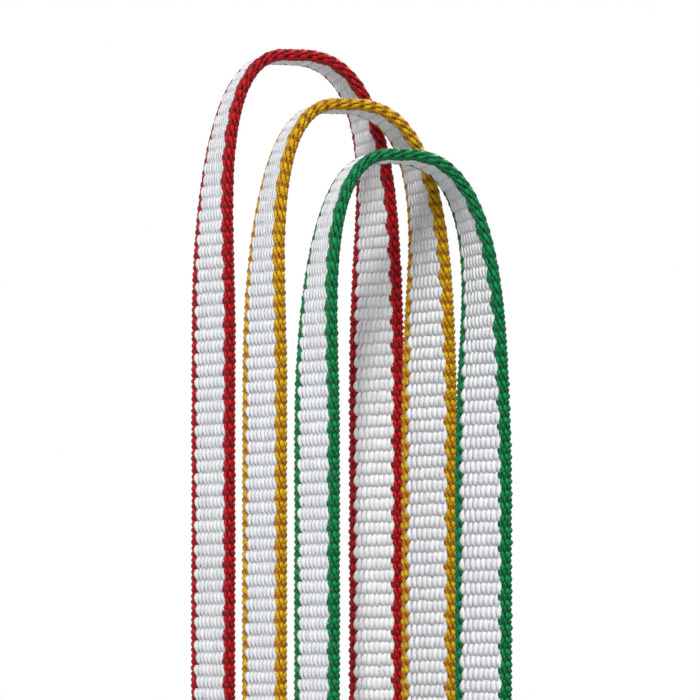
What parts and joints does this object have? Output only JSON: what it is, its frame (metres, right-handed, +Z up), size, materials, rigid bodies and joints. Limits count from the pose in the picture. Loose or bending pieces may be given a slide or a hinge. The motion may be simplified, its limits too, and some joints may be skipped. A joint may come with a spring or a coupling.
{
  "type": "webbing sling",
  "caption": "Closed loops of narrow white webbing with coloured woven edges, each overlapped and bar-tacked low on one leg; a carabiner or bar clips through the loops.",
  "frame": {"origin": "middle of the inner face at the top of the back (red) sling, where it bears on what it hangs from", "axes": "+Z up along the hanging loops, +X across the loops to the right as seen from the front, +Y from the front (green) sling to the back (red) one"},
  "size_m": [0.045, 0.0339, 0.2459],
  "materials": {
    "white_webbing": "woven",
    "red_edge": "woven",
    "yellow_edge": "woven",
    "green_edge": "woven",
    "red_thread": "stitched",
    "yellow_thread": "stitched",
    "green_thread": "stitched"
  },
  "bodies": {
    "red_sling": {"red_webbing": "white_webbing", "red_front_edge": "red_edge", "red_back_edge": "red_edge", "red_bar_tack_1": "red_thread", "red_bar_tack_2": "red_thread", "red_bar_tack_3": "red_thread", "red_bar_tack_4": "red_thread"},
    "yellow_sling": {"yellow_webbing": "white_webbing", "yellow_front_edge": "yellow_edge", "yellow_back_edge": "yellow_edge", "yellow_bar_tack_1": "yellow_thread", "yellow_bar_tack_2": "yellow_thread", "yellow_bar_tack_3": "yellow_thread", "yellow_bar_tack_4": "yellow_thread"},
    "green_sling": {"green_webbing": "white_webbing", "green_front_edge": "green_edge", "green_back_edge": "green_edge", "green_bar_tack_1": "green_thread", "green_bar_tack_2": "green_thread", "green_bar_tack_3": "green_thread", "green_bar_tack_4": "green_thread"}
  },
  "joints": [
    {"name": "yellow_pull_off", "type": "slide", "parent": "red_sling", "child": "yellow_sling", "axis": [0, -1, 0], "range_m": [0, 0.06]},
    {"name": "green_pull_off", "type": "slide", "parent": "yellow_sling", "child": "green_sling", "axis": [0, -1, 0], "range_m": [0, 0.06]}
  ]
}
